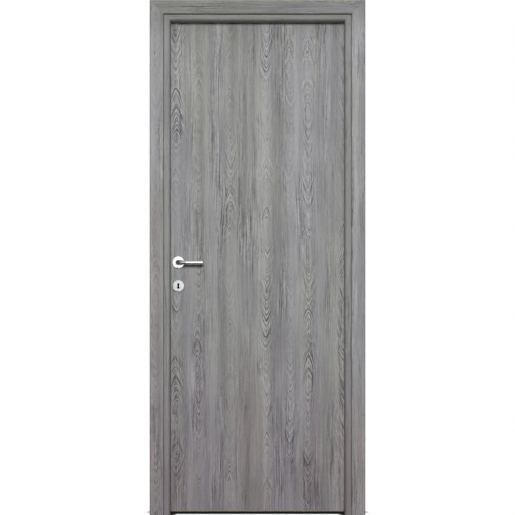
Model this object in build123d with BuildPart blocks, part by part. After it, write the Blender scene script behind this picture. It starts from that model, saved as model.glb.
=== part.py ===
"""Interior door: a rebated hollow-core leaf in a mitred timber frame with casings on both wall faces.

The leaf hangs on three barrel hinges behind the jamb stop, so from the front it lies deep in the frame and
swings away from the viewer. A lever handle turns on a square spindle through a mortise lock.

Frame: X runs from the lock side to the hinge side, Y from the front of the wall to the rear, Z up.
The origin is on the outer face of the hinge jamb, which is fixed to the wall, at the floor and at mid wall.
All lengths are in millimetres.
"""

import os
from math import copysign, cos, pi, sin

from build123d import *

# Doorway and wall
clear_width = 740
clear_height = 2100
wall_thickness = 90

# Jamb and stop section, measured outwards from the passage edge and back from the front of the wall
jamb_thickness = 46
jamb_face_width = 25
jamb_nose_height = 4
nose_width = 12
nose_depth = 20
stop_width = 17
stop_corner_radius = 1.5

# Casings, boards that cover the joint between jamb and wall, with a tongue that slides in the jamb
casing_width = 58
casing_thickness = 10
casing_edge_radius = 4
shadow_gap = 4
shadow_gap_depth = 14
rear_casing_reveal = 37
tongue_thickness = 5
tongue_length = 20
tongue_offset = 6.5
tongue_clearance = 0.3

# Leaf, a hollow box of two skins on stiles and rails, with a lip that laps the frame on three sides
leaf_thickness = 44
skin_thickness = 3
lip_thickness = 12
lip_width = 12
rear_edge_radius = 1.5
side_gap = 6.5
lip_gap = 5
stop_gap = 5
floor_gap = 10
stile_width = 30
top_rail_height = 50
bottom_rail_height = 70
lock_block_width = 100
lock_block_height = 320

# Seal, a bulb on a barb pressed into the stop
seal_bulb_width = 8
seal_barb_width = 3
seal_barb_depth = 6
seal_leaf_gap = 0.3

# Lever handle
handle_height = 1075
handle_inset = 31
rose_diameter = 52
rose_thickness = 8
rose_edge_radius = 1.2
neck_diameter = 24
neck_clearance = 0.3
collar_height = 3
collar_step = 0.5
neck_stations = 3
lever_reach = 108
lever_projection = 52
elbow_radius = 32
elbow_swell = 2
elbow_stations = 4
root_stations = 3
grip_root_height = 15
grip_root_depth = 12
grip_waist = 40
grip_height = 12
grip_depth = 10
grip_end_height = 13.5
grip_end_bevel = 1.2
grip_squareness = 3.4
section_points = 16
spindle_size = 8
spindle_clearance = 0.1
spindle_grip = 20
spindle_bore = 16

# Key rose and keyhole
key_spacing = 101
key_rose_diameter = 50
key_rose_thickness = 7
key_rose_edge_radius = 1.2
key_ring_diameter = 30
key_ring_width = 1.2
key_ring_depth = 0.6
keyhole_height = 24
keyhole_top_radius = 5
keyhole_foot_radius = 5.3
keyhole_waist = 7.4
key_slot_width = 13
key_slot_height = 30
key_pocket_width = 12
key_pocket_height = 26
key_pocket_depth = 5

# Mortise lock and strike
lock_case_depth = 78
lock_case_thickness = 15
lock_case_above = 40
lock_case_below = 45
lock_clearance = 0.5
lock_bore = 12.6
faceplate_width = 18
faceplate_thickness = 2.5
faceplate_margin = 25
latch_height = 30
latch_thickness = 10
latch_length = 30
latch_show = 1.5
bolt_height = 28
bolt_thickness = 8
bolt_length = 35
bolt_drop = 8
bolt_clearance = 0.3
strike_thickness = 2
strike_margin = 20
strike_hole_margin = 2
strike_pocket_depth = 14

# Barrel hinges, a frame half with the pin below a leaf half
hinge_count = 3
hinge_bottom = 230
hinge_top_drop = 200
barrel_diameter = 16
barrel_length = 42
barrel_gap = 1
barrel_lip_gap = 1
barrel_inset = 1
barrel_cap_radius = 3
hinge_pin_diameter = 8
hinge_pin_length = 30
hinge_pin_clearance = 0.1
stem_diameter = 7
stem_depth = 28
leaf_stem_diameter = 5.6
stem_clearance = 0.1

# Edges of the doorway
hinge_edge = -jamb_thickness
lock_edge = hinge_edge - clear_width
wall_front = -wall_thickness / 2
wall_rear = wall_thickness / 2

# The casings start at different distances from the passage and end at the same one
front_casing_reveal = jamb_face_width + shadow_gap
frame_reach = front_casing_reveal + casing_width
rear_casing_width = frame_reach - rear_casing_reveal

# Planes of the leaf, front to rear
leaf_rear = wall_rear + lip_gap + lip_thickness
leaf_front = leaf_rear - leaf_thickness
lip_front = leaf_rear - lip_thickness
core_front = leaf_front + skin_thickness
core_rear = leaf_rear - skin_thickness
core_thickness = core_rear - core_front
stop_depth = leaf_front - stop_gap - wall_front

# Outline of the leaf
body_reach = stop_width - side_gap
lip_reach = body_reach + lip_width
leaf_hinge_edge = hinge_edge + body_reach
leaf_lock_edge = lock_edge - body_reach
leaf_top = clear_height + body_reach
leaf_width = leaf_hinge_edge - leaf_lock_edge
leaf_height = leaf_top - floor_gap
lip_top = clear_height + lip_reach
seal_centre = body_reach - seal_bulb_width / 2

# Lock, centred on the rebated part of the leaf
lock_centre = (leaf_front + lip_front) / 2
spindle_x = lock_edge + handle_inset
key_height = handle_height - key_spacing
lock_case_top = handle_height + lock_case_above
lock_case_bottom = key_height - lock_case_below
lock_middle = (lock_case_top + lock_case_bottom) / 2
lock_case_height = lock_case_top - lock_case_bottom
faceplate_height = lock_case_height + 2 * faceplate_margin
latch_centre = handle_height
bolt_centre = key_height - bolt_drop

# Hinge axis, close to the rear face of the leaf and just clear of its lip
hinge_axis_x = hinge_edge + lip_reach + barrel_lip_gap + barrel_diameter / 2
hinge_axis_y = leaf_rear - barrel_inset
hinge_step = (clear_height - hinge_top_drop - hinge_bottom) / (hinge_count - 1)
hinge_heights = [hinge_bottom + n * hinge_step for n in range(hinge_count)]
hinge_names = ["bottom", "middle", "top"]
leaf_stem_y = (lip_front + leaf_rear) / 2

# Each side of the frame has a plane whose X points away from the passage and whose Y points to the rear
hinge_side = Plane(origin=(hinge_edge, wall_front, 0), x_dir=(1, 0, 0), z_dir=(0, 0, 1))
lock_side = Plane(origin=(lock_edge, wall_front, 0), x_dir=(-1, 0, 0), z_dir=(0, 0, -1))
head_side = Plane(
    origin=((hinge_edge + lock_edge) / 2, wall_front, clear_height),
    x_dir=(0, 0, 1),
    z_dir=(-1, 0, 0),
)

# The mitres pass through the top corners of the passage and keep the upright on their upper side
hinge_mitre = Plane(origin=(hinge_edge, 0, clear_height), z_dir=(1, 0, -1))
lock_mitre = Plane(origin=(lock_edge, 0, clear_height), z_dir=(-1, 0, -1))
upright_length = clear_height + frame_reach
head_length = clear_width + 2 * frame_reach

# Planes for what is fitted to the front face of the leaf and mirrored to its rear face
handle_plane = Plane(
    origin=(spindle_x, leaf_front, handle_height), x_dir=(1, 0, 0), z_dir=(0, -1, 0)
)
key_plane = Plane(
    origin=(spindle_x, leaf_front, key_height), x_dir=(1, 0, 0), z_dir=(0, -1, 0)
)
leaf_middle = Plane(origin=(0, (leaf_front + leaf_rear) / 2, 0), z_dir=(0, 1, 0))
lock_edge_plane = Plane(
    origin=(leaf_lock_edge, lock_centre, 0), x_dir=(0, -1, 0), z_dir=(-1, 0, 0)
)
strike_plane = Plane(
    origin=(lock_edge - stop_width, lock_centre, 0), x_dir=(0, -1, 0), z_dir=(-1, 0, 0)
)

front_tongue_centre = front_casing_reveal + tongue_offset + tongue_thickness / 2
rear_tongue_centre = rear_casing_reveal + tongue_thickness / 2


def jamb_section(side: Plane) -> Sketch:
    """Section of the jamb's board: raised face, seat for the casing, grooves for the tongues."""
    groove_width = tongue_thickness + 2 * tongue_clearance
    groove_depth = tongue_length + tongue_clearance
    with BuildSketch(side) as section:
        with BuildLine():
            Polyline(
                (stop_width, -jamb_nose_height),
                (jamb_face_width, -jamb_nose_height),
                (jamb_face_width, 0),
                (jamb_thickness, 0),
                (jamb_thickness, wall_thickness),
                (stop_width, wall_thickness),
                close=True,
            )
        make_face()
        with Locations((jamb_face_width, 0)):
            Rectangle(
                shadow_gap, shadow_gap_depth, align=(Align.MIN, Align.MIN), mode=Mode.SUBTRACT
            )
        with Locations((front_tongue_centre, 0)):
            Rectangle(
                groove_width, groove_depth, align=(Align.CENTER, Align.MIN), mode=Mode.SUBTRACT
            )
        with Locations((rear_tongue_centre, wall_thickness)):
            Rectangle(
                groove_width, groove_depth, align=(Align.CENTER, Align.MAX), mode=Mode.SUBTRACT
            )
    return section.sketch


def stop_section(side: Plane) -> Sketch:
    """Section of the stop, planted flush on the jamb's board: rounded nose, groove for the seal."""
    with BuildSketch(side) as section:
        with BuildLine():
            Polyline(
                (nose_width, -jamb_nose_height),
                (stop_width, -jamb_nose_height),
                (stop_width, stop_depth),
                (stop_corner_radius, stop_depth),
            )
            RadiusArc(
                (stop_corner_radius, stop_depth),
                (0, stop_depth - stop_corner_radius),
                stop_corner_radius,
            )
            nose_foot = nose_depth - jamb_nose_height
            Line((0, stop_depth - stop_corner_radius), (0, nose_foot))
            EllipticalCenterArc(
                (nose_width, nose_foot), nose_width, nose_depth, start_angle=180, arc_size=90
            )
        make_face()
        with Locations((seal_centre, stop_depth)):
            Rectangle(
                seal_barb_width, seal_barb_depth, align=(Align.CENTER, Align.MAX), mode=Mode.SUBTRACT
            )
    return section.sketch


def casing_section(
    side: Plane, reveal: float, width: float, tongue_centre: float, rear: bool
) -> Sketch:
    """Section of a casing: a board with rounded edges and the tongue that slides into the jamb."""
    outwards = 1 if rear else -1
    seat = wall_thickness if rear else 0
    with BuildSketch(side) as section:
        with Locations((reveal + width / 2, seat + outwards * casing_thickness / 2)):
            Rectangle(width, casing_thickness)
        face = section.vertices().sort_by(Axis.Y)
        fillet(face[-2:] if rear else face[:2], casing_edge_radius)
        with Locations((tongue_centre, seat - outwards * tongue_length / 2)):
            Rectangle(tongue_thickness, tongue_length)
    return section.sketch


def front_casing_section(side: Plane) -> Sketch:
    """Section of a casing on the front of the wall, one shadow gap away from the jamb's face."""
    return casing_section(
        side, front_casing_reveal, casing_width, front_tongue_centre, rear=False
    )


def rear_casing_section(side: Plane) -> Sketch:
    """Section of a casing on the rear of the wall, set out to leave room for the hinge barrels."""
    return casing_section(
        side, rear_casing_reveal, rear_casing_width, rear_tongue_centre, rear=True
    )


def seal_section(side: Plane) -> Sketch:
    """Section of the seal: a rounded bulb in the corner of the rebate, on a barb in the stop."""
    bulb_depth = stop_gap - seal_leaf_gap
    with BuildSketch(side) as section:
        with Locations((seal_centre, stop_depth)):
            Rectangle(seal_bulb_width, bulb_depth, align=(Align.CENTER, Align.MIN))
        crown = section.vertices().sort_by(Axis.Y)[-2:]
        fillet(crown, bulb_depth / 2)
        with Locations((seal_centre, stop_depth)):
            Rectangle(seal_barb_width, seal_barb_depth, align=(Align.CENTER, Align.MAX))
    return section.sketch


def keyhole(plane: Plane) -> Sketch:
    """A keyhole with a round top and a wider round foot."""
    top = keyhole_height / 2 - keyhole_top_radius
    foot = keyhole_height / 2 - keyhole_foot_radius
    with BuildSketch(plane) as outline:
        with Locations((0, top)):
            Circle(keyhole_top_radius)
        with Locations((0, -foot)):
            Circle(keyhole_foot_radius)
        with Locations((0, (top - foot) / 2)):
            Rectangle(keyhole_waist, top + foot)
    return outline.sketch


# Frame: jambs
with BuildPart() as hinge_jamb:
    extrude(jamb_section(hinge_side), amount=upright_length)
    split(bisect_by=hinge_mitre, keep=Keep.TOP)
    for height in hinge_heights:
        stem_height = height - (barrel_gap + barrel_length) / 2
        with BuildSketch(
            Plane(
                origin=(hinge_axis_x, wall_rear, stem_height), x_dir=(1, 0, 0), z_dir=(0, 1, 0)
            )
        ):
            Circle(stem_diameter / 2 + stem_clearance)
        extrude(amount=-stem_depth, mode=Mode.SUBTRACT)

with BuildPart() as lock_jamb:
    extrude(jamb_section(lock_side), amount=-upright_length)
    split(bisect_by=lock_mitre, keep=Keep.TOP)
    with BuildSketch(strike_plane):
        with Locations((0, lock_middle)):
            SlotOverall(lock_case_height + 2 * strike_margin, faceplate_width, rotation=90)
    extrude(amount=strike_thickness, mode=Mode.SUBTRACT)
    with BuildSketch(strike_plane):
        with Locations((0, latch_centre)):
            Rectangle(
                latch_thickness + 2 * strike_hole_margin, latch_height + 2 * strike_hole_margin
            )
        with Locations((0, bolt_centre)):
            Rectangle(
                bolt_thickness + 2 * strike_hole_margin, bolt_height + 2 * strike_hole_margin
            )
    extrude(amount=strike_thickness + strike_pocket_depth, mode=Mode.SUBTRACT)

with BuildPart() as head_jamb:
    extrude(jamb_section(head_side), amount=head_length / 2, both=True)
    split(bisect_by=hinge_mitre, keep=Keep.BOTTOM)
    split(bisect_by=lock_mitre, keep=Keep.BOTTOM)

# Frame: stops, which the leaf closes against
with BuildPart() as hinge_stop:
    extrude(stop_section(hinge_side), amount=upright_length)
    split(bisect_by=hinge_mitre, keep=Keep.TOP)

with BuildPart() as lock_stop:
    extrude(stop_section(lock_side), amount=-upright_length)
    split(bisect_by=lock_mitre, keep=Keep.TOP)

with BuildPart() as head_stop:
    extrude(stop_section(head_side), amount=head_length / 2, both=True)
    split(bisect_by=hinge_mitre, keep=Keep.BOTTOM)
    split(bisect_by=lock_mitre, keep=Keep.BOTTOM)

# Frame: casings
with BuildPart() as front_hinge_casing:
    extrude(front_casing_section(hinge_side), amount=upright_length)
    split(bisect_by=hinge_mitre, keep=Keep.TOP)

with BuildPart() as front_lock_casing:
    extrude(front_casing_section(lock_side), amount=-upright_length)
    split(bisect_by=lock_mitre, keep=Keep.TOP)

with BuildPart() as front_head_casing:
    extrude(front_casing_section(head_side), amount=head_length / 2, both=True)
    split(bisect_by=hinge_mitre, keep=Keep.BOTTOM)
    split(bisect_by=lock_mitre, keep=Keep.BOTTOM)

with BuildPart() as rear_hinge_casing:
    extrude(rear_casing_section(hinge_side), amount=upright_length)
    split(bisect_by=hinge_mitre, keep=Keep.TOP)

with BuildPart() as rear_lock_casing:
    extrude(rear_casing_section(lock_side), amount=-upright_length)
    split(bisect_by=lock_mitre, keep=Keep.TOP)

with BuildPart() as rear_head_casing:
    extrude(rear_casing_section(head_side), amount=head_length / 2, both=True)
    split(bisect_by=hinge_mitre, keep=Keep.BOTTOM)
    split(bisect_by=lock_mitre, keep=Keep.BOTTOM)

# Frame: seals
with BuildPart() as hinge_seal:
    extrude(seal_section(hinge_side), amount=upright_length)
    split(bisect_by=hinge_mitre, keep=Keep.TOP)

with BuildPart() as lock_seal:
    extrude(seal_section(lock_side), amount=-upright_length)
    split(bisect_by=lock_mitre, keep=Keep.TOP)

with BuildPart() as head_seal:
    extrude(seal_section(head_side), amount=head_length / 2, both=True)
    split(bisect_by=hinge_mitre, keep=Keep.BOTTOM)
    split(bisect_by=lock_mitre, keep=Keep.BOTTOM)

# Frame: strike plate, let into the rebate of the lock jamb
with BuildPart() as strike_plate:
    with BuildSketch(strike_plane):
        with Locations((0, lock_middle)):
            SlotOverall(lock_case_height + 2 * strike_margin, faceplate_width, rotation=90)
        with Locations((0, latch_centre)):
            Rectangle(
                latch_thickness + 2 * strike_hole_margin,
                latch_height + 2 * strike_hole_margin,
                mode=Mode.SUBTRACT,
            )
        with Locations((0, bolt_centre)):
            Rectangle(
                bolt_thickness + 2 * strike_hole_margin,
                bolt_height + 2 * strike_hole_margin,
                mode=Mode.SUBTRACT,
            )
    extrude(amount=strike_thickness)


def stile_section(edge: float, outwards: int) -> Sketch:
    """Section of a stile seen from above: the body and the thinner lip beyond its edge."""
    with BuildSketch(Plane.XY.offset(floor_gap)) as section:
        with Locations((edge, core_front)):
            Rectangle(
                stile_width,
                core_thickness,
                align=(Align.MAX if outwards > 0 else Align.MIN, Align.MIN),
            )
        with Locations((edge, lip_front)):
            Rectangle(
                lip_width,
                core_rear - lip_front,
                align=(Align.MIN if outwards > 0 else Align.MAX, Align.MIN),
            )
    return section.sketch


# Leaf: stiles, which carry the lip past the top of the body
with BuildPart() as hinge_stile:
    extrude(stile_section(leaf_hinge_edge, outwards=1), amount=lip_top - floor_gap)
    with BuildSketch(Plane.XY.offset(leaf_top)):
        with Locations((leaf_hinge_edge, core_front)):
            Rectangle(
                stile_width, lip_front - core_front, align=(Align.MAX, Align.MIN)
            )
    extrude(amount=lip_width, mode=Mode.SUBTRACT)
    for height in hinge_heights:
        stem_height = height + (barrel_gap + barrel_length) / 2
        with BuildSketch(
            Plane(
                origin=(leaf_hinge_edge + lip_width, leaf_stem_y, stem_height),
                x_dir=(0, 1, 0),
                z_dir=(1, 0, 0),
            )
        ):
            Circle(leaf_stem_diameter / 2 + stem_clearance)
        extrude(amount=-stem_depth, mode=Mode.SUBTRACT)

with BuildPart() as lock_stile:
    extrude(stile_section(leaf_lock_edge, outwards=-1), amount=lip_top - floor_gap)
    with BuildSketch(Plane.XY.offset(leaf_top)):
        with Locations((leaf_lock_edge, core_front)):
            Rectangle(
                stile_width, lip_front - core_front, align=(Align.MIN, Align.MIN)
            )
    extrude(amount=lip_width, mode=Mode.SUBTRACT)
    with BuildSketch(lock_edge_plane):
        with Locations((0, lock_middle)):
            SlotOverall(faceplate_height, faceplate_width, rotation=90)
    extrude(amount=-faceplate_thickness, mode=Mode.SUBTRACT)
    with BuildSketch(lock_edge_plane):
        with Locations((0, lock_middle)):
            Rectangle(
                lock_case_thickness + 2 * lock_clearance, lock_case_height + 2 * lock_clearance
            )
    extrude(amount=-stile_width, mode=Mode.SUBTRACT)

# Leaf: rails between the stiles
rail_length = leaf_width - 2 * stile_width
rail_middle = (leaf_hinge_edge + leaf_lock_edge) / 2

with BuildPart() as top_rail:
    with BuildSketch(Plane(origin=(rail_middle, 0, 0), x_dir=(0, 1, 0), z_dir=(1, 0, 0))):
        with Locations((core_front, leaf_top)):
            Rectangle(core_thickness, top_rail_height, align=(Align.MIN, Align.MAX))
        with Locations((lip_front, leaf_top)):
            Rectangle(core_rear - lip_front, lip_width, align=(Align.MIN, Align.MIN))
    extrude(amount=rail_length / 2, both=True)

with BuildPart() as bottom_rail:
    with BuildSketch(Plane.XY.offset(floor_gap)):
        with Locations((rail_middle, core_front)):
            Rectangle(rail_length, core_thickness, align=(Align.CENTER, Align.MIN))
    extrude(amount=bottom_rail_height)

# Leaf: block behind the lock, bored for the spindle and the key
lock_block_edge = leaf_lock_edge + stile_width
lock_block_plane = Plane(
    origin=(lock_block_edge, lock_centre, lock_middle), x_dir=(0, -1, 0), z_dir=(-1, 0, 0)
)

with BuildPart() as lock_block:
    with BuildSketch(Plane.XY.offset(lock_middle)):
        with Locations((lock_block_edge, core_front)):
            Rectangle(lock_block_width, core_thickness, align=(Align.MIN, Align.MIN))
    extrude(amount=lock_block_height / 2, both=True)
    with BuildSketch(lock_block_plane):
        Rectangle(
            lock_case_thickness + 2 * lock_clearance, lock_case_height + 2 * lock_clearance
        )
    mortise_depth = lock_case_depth + faceplate_thickness + lock_clearance - stile_width
    extrude(amount=-mortise_depth, mode=Mode.SUBTRACT)
    with BuildSketch(handle_plane):
        Circle(spindle_bore / 2)
    extrude(amount=-leaf_thickness, mode=Mode.SUBTRACT)
    with BuildSketch(key_plane):
        SlotOverall(key_slot_height, key_slot_width, rotation=90)
    extrude(amount=-leaf_thickness, mode=Mode.SUBTRACT)

# Leaf: skins
with BuildPart() as front_skin:
    with BuildSketch(Plane(origin=(0, leaf_front, 0), x_dir=(1, 0, 0), z_dir=(0, -1, 0))):
        with Locations((leaf_lock_edge, floor_gap)):
            Rectangle(leaf_width, leaf_height, align=(Align.MIN, Align.MIN))
        with Locations((spindle_x, handle_height)):
            Circle(spindle_bore / 2, mode=Mode.SUBTRACT)
        with Locations((spindle_x, key_height)):
            SlotOverall(key_slot_height, key_slot_width, rotation=90, mode=Mode.SUBTRACT)
    extrude(amount=-skin_thickness)

with BuildPart() as rear_skin:
    with BuildSketch(Plane(origin=(0, core_rear, 0), x_dir=(1, 0, 0), z_dir=(0, -1, 0))):
        with Locations((leaf_lock_edge - lip_width, floor_gap)):
            Rectangle(
                leaf_width + 2 * lip_width, leaf_height + lip_width, align=(Align.MIN, Align.MIN)
            )
        with Locations((spindle_x, handle_height)):
            Circle(spindle_bore / 2, mode=Mode.SUBTRACT)
        with Locations((spindle_x, key_height)):
            SlotOverall(key_slot_height, key_slot_width, rotation=90, mode=Mode.SUBTRACT)
    extrude(amount=-skin_thickness)
    fillet(rear_skin.faces().sort_by(Axis.Y)[-1].outer_wire().edges(), rear_edge_radius)

# Leaf: mortise lock
lock_case_plane = Plane(
    origin=(leaf_lock_edge + faceplate_thickness, lock_centre, lock_middle),
    x_dir=(0, -1, 0),
    z_dir=(-1, 0, 0),
)

with BuildPart() as lock_faceplate:
    with BuildSketch(lock_edge_plane):
        with Locations((0, lock_middle)):
            SlotOverall(faceplate_height, faceplate_width, rotation=90)
        with Locations((0, latch_centre)):
            Rectangle(
                latch_thickness + 2 * bolt_clearance,
                latch_height + 2 * bolt_clearance,
                mode=Mode.SUBTRACT,
            )
        with Locations((0, bolt_centre)):
            Rectangle(
                bolt_thickness + 2 * bolt_clearance,
                bolt_height + 2 * bolt_clearance,
                mode=Mode.SUBTRACT,
            )
    extrude(amount=-faceplate_thickness)

with BuildPart() as lock_case:
    with BuildSketch(lock_case_plane):
        Rectangle(lock_case_thickness, lock_case_height)
    extrude(amount=-lock_case_depth)
    with BuildSketch(lock_edge_plane):
        with Locations((0, latch_centre)):
            Rectangle(latch_thickness + 2 * bolt_clearance, latch_height + 2 * bolt_clearance)
    extrude(amount=-latch_length, mode=Mode.SUBTRACT)
    with BuildSketch(lock_edge_plane):
        with Locations((0, bolt_centre)):
            Rectangle(bolt_thickness + 2 * bolt_clearance, bolt_height + 2 * bolt_clearance)
    extrude(amount=-bolt_length, mode=Mode.SUBTRACT)
    with BuildSketch(handle_plane):
        Circle(lock_bore / 2)
    extrude(amount=-leaf_thickness, mode=Mode.SUBTRACT)
    case_front = leaf_front - (lock_centre - lock_case_thickness / 2)
    for pocket_mouth in (case_front, case_front - lock_case_thickness + key_pocket_depth):
        with BuildSketch(key_plane.offset(pocket_mouth)):
            Rectangle(key_pocket_width, key_pocket_height)
        extrude(amount=-key_pocket_depth, mode=Mode.SUBTRACT)

with BuildPart() as latch_bolt:
    with BuildSketch(Plane.XY.offset(latch_centre)):
        with BuildLine():
            Polyline(
                (leaf_lock_edge + latch_length, lock_centre - latch_thickness / 2),
                (leaf_lock_edge, lock_centre - latch_thickness / 2),
                (leaf_lock_edge - latch_show, lock_centre + latch_thickness / 2 - latch_show),
                (leaf_lock_edge - latch_show, lock_centre + latch_thickness / 2),
                (leaf_lock_edge + latch_length, lock_centre + latch_thickness / 2),
                close=True,
            )
        make_face()
    extrude(amount=latch_height / 2, both=True)

with BuildPart() as dead_bolt:
    with BuildSketch(lock_edge_plane.offset(-bolt_length)):
        with Locations((0, bolt_centre)):
            Rectangle(bolt_thickness, bolt_height)
    extrude(amount=bolt_length)

# Leaf: roses around the spindle and the key
with BuildPart() as front_rose:
    with BuildSketch(handle_plane):
        Circle(rose_diameter / 2)
    extrude(amount=rose_thickness)
    fillet(front_rose.edges().group_by(Axis.Y)[0], rose_edge_radius)
    with Locations(handle_plane.location):
        Hole(neck_diameter / 2 + neck_clearance)

with BuildPart() as rear_rose:
    add(front_rose.part)
    mirror(about=leaf_middle, mode=Mode.REPLACE)

with BuildPart() as front_key_rose:
    with BuildSketch(key_plane):
        Circle(key_rose_diameter / 2)
    extrude(amount=key_rose_thickness)
    fillet(front_key_rose.edges().group_by(Axis.Y)[0], key_rose_edge_radius)
    with BuildSketch(key_plane.offset(key_rose_thickness)):
        Circle(key_ring_diameter / 2)
        Circle(key_ring_diameter / 2 - key_ring_width, mode=Mode.SUBTRACT)
    extrude(amount=-key_ring_depth, mode=Mode.SUBTRACT)
    extrude(keyhole(key_plane), amount=key_rose_thickness, mode=Mode.SUBTRACT)

with BuildPart() as rear_key_rose:
    add(front_key_rose.part)
    mirror(about=leaf_middle, mode=Mode.REPLACE)

# Handle: levers, each a round neck that turns through an elbow into a slim squared grip
grip_line = lever_projection - grip_depth / 2
neck_length = grip_line - elbow_radius
neck_end = handle_plane.offset(neck_length)
collar_length = rose_thickness + collar_height
neck_width = neck_diameter - 2 * collar_step


def elbow_plane(turn: float) -> Plane:
    """Plane across the elbow after a turn in degrees, with its X in the turn and its Y up."""
    return Plane(
        neck_end.location * Pos(elbow_radius, 0, 0) * Rot(0, turn, 0) * Pos(-elbow_radius, 0, 0)
    )


grip_start = elbow_plane(90)
grip_length = lever_reach - elbow_radius
grip_narrowing = grip_waist - elbow_radius


def lever_section(plane: Plane, depth: float, height: float, squareness: float = 2) -> Sketch:
    """Section of the lever: an oval at a squareness of 2, and nearer to a rectangle above it."""
    points = []
    for n in range(section_points):
        turn = 2 * pi * n / section_points
        across = copysign(abs(cos(turn)) ** (2 / squareness), cos(turn))
        up = copysign(abs(sin(turn)) ** (2 / squareness), sin(turn))
        points.append((across * depth / 2, up * height / 2))
    with BuildSketch(plane) as section:
        with BuildLine():
            Spline(points, periodic=True)
        make_face()
    return section.sketch


def neck_section(height: float) -> Sketch:
    """Round section of the neck at a height above the face of the leaf."""
    return lever_section(handle_plane.offset(height), neck_width, neck_width)


def elbow_section(share: float) -> Sketch:
    """Section at a share of the elbow's turn: it swells a little between the neck and the grip."""
    depth = neck_width + (grip_root_depth - neck_width) * share
    height = neck_width + (grip_root_height - neck_width) * share
    return lever_section(elbow_plane(90 * share), depth, height + elbow_swell * sin(pi * share))


def grip_section(reach: float, inset: float = 0) -> Sketch:
    """Section of the grip at a reach past the elbow: it narrows at first, then flares to its end."""
    share = min(reach / grip_narrowing, 1)
    ease = share**2 * (3 - 2 * share)
    depth = grip_root_depth + (grip_depth - grip_root_depth) * ease
    height = grip_root_height + (grip_height - grip_root_height) * ease
    height += (grip_end_height - grip_height) * reach / grip_length
    squareness = 2 + (grip_squareness - 2) * ease
    return lever_section(
        grip_start.offset(reach), depth - 2 * inset, height - 2 * inset, squareness
    )


with BuildPart() as front_lever:
    with BuildSketch(handle_plane.offset(neck_clearance)):
        Circle(neck_diameter / 2)
    extrude(amount=collar_length - neck_clearance)
    neck_run = neck_length - collar_length
    neck = [neck_section(collar_length + neck_run * n / neck_stations) for n in range(neck_stations)]
    elbow = [elbow_section(n / elbow_stations) for n in range(elbow_stations)]
    root = [grip_section(grip_narrowing * n / root_stations) for n in range(root_stations + 1)]
    loft(neck + elbow + root)
    grip = [grip_section(grip_narrowing), grip_section(grip_length - grip_end_bevel)]
    loft(grip + [grip_section(grip_length, grip_end_bevel)], ruled=True)
    with BuildSketch(handle_plane):
        Rectangle(spindle_size + 2 * spindle_clearance, spindle_size + 2 * spindle_clearance)
    extrude(amount=spindle_grip, mode=Mode.SUBTRACT)

with BuildPart() as rear_lever:
    add(front_lever.part)
    mirror(about=leaf_middle, mode=Mode.REPLACE)

with BuildPart() as spindle:
    with BuildSketch(handle_plane.offset(spindle_grip)):
        Rectangle(spindle_size, spindle_size)
    extrude(amount=-leaf_thickness - 2 * spindle_grip)

parts = {
    "hinge_jamb": hinge_jamb,
    "lock_jamb": lock_jamb,
    "head_jamb": head_jamb,
    "hinge_stop": hinge_stop,
    "lock_stop": lock_stop,
    "head_stop": head_stop,
    "front_hinge_casing": front_hinge_casing,
    "front_lock_casing": front_lock_casing,
    "front_head_casing": front_head_casing,
    "rear_hinge_casing": rear_hinge_casing,
    "rear_lock_casing": rear_lock_casing,
    "rear_head_casing": rear_head_casing,
    "hinge_seal": hinge_seal,
    "lock_seal": lock_seal,
    "head_seal": head_seal,
    "strike_plate": strike_plate,
    "hinge_stile": hinge_stile,
    "lock_stile": lock_stile,
    "top_rail": top_rail,
    "bottom_rail": bottom_rail,
    "lock_block": lock_block,
    "front_skin": front_skin,
    "rear_skin": rear_skin,
    "lock_faceplate": lock_faceplate,
    "lock_case": lock_case,
    "latch_bolt": latch_bolt,
    "dead_bolt": dead_bolt,
    "front_rose": front_rose,
    "rear_rose": rear_rose,
    "front_key_rose": front_key_rose,
    "rear_key_rose": rear_key_rose,
    "front_lever": front_lever,
    "rear_lever": rear_lever,
    "spindle": spindle,
}

# Hinges, the frame half with its pin below and the leaf half turning on it above
for place, height in zip(hinge_names, hinge_heights):
    axis_plane = Plane(origin=(hinge_axis_x, hinge_axis_y, height))
    barrel_middle = (barrel_gap + barrel_length) / 2

    with BuildPart() as frame_half:
        with BuildSketch(axis_plane.offset(-barrel_gap / 2)):
            Circle(barrel_diameter / 2)
        extrude(amount=-barrel_length)
        fillet(frame_half.edges().group_by(Axis.Z)[0], barrel_cap_radius)
        with BuildSketch(axis_plane.offset(-barrel_gap / 2)):
            Circle(hinge_pin_diameter / 2)
        extrude(amount=hinge_pin_length)
        with BuildSketch(
            Plane(
                origin=(hinge_axis_x, hinge_axis_y, height - barrel_middle),
                x_dir=(1, 0, 0),
                z_dir=(0, -1, 0),
            )
        ):
            Circle(stem_diameter / 2)
        extrude(amount=hinge_axis_y - wall_rear + stem_depth)

    with BuildPart() as leaf_half:
        with BuildSketch(axis_plane.offset(barrel_gap / 2)):
            Circle(barrel_diameter / 2)
        extrude(amount=barrel_length)
        fillet(leaf_half.edges().group_by(Axis.Z)[-1], barrel_cap_radius)
        with BuildSketch(
            Plane(
                origin=(hinge_axis_x, leaf_stem_y, height + barrel_middle),
                x_dir=(0, -1, 0),
                z_dir=(-1, 0, 0),
            )
        ):
            Circle(leaf_stem_diameter / 2)
        extrude(amount=barrel_diameter / 2 + barrel_lip_gap + stem_depth)
        with BuildSketch(axis_plane):
            Circle(hinge_pin_diameter / 2 + hinge_pin_clearance)
        extrude(amount=hinge_pin_length + barrel_gap, mode=Mode.SUBTRACT)

    parts[f"{place}_hinge_frame_half"] = frame_half
    parts[f"{place}_hinge_leaf_half"] = leaf_half

os.makedirs("parts", exist_ok=True)
for name, piece in parts.items():
    piece.part.label = name
    export_step(piece.part, f"parts/{name}.step")
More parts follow.
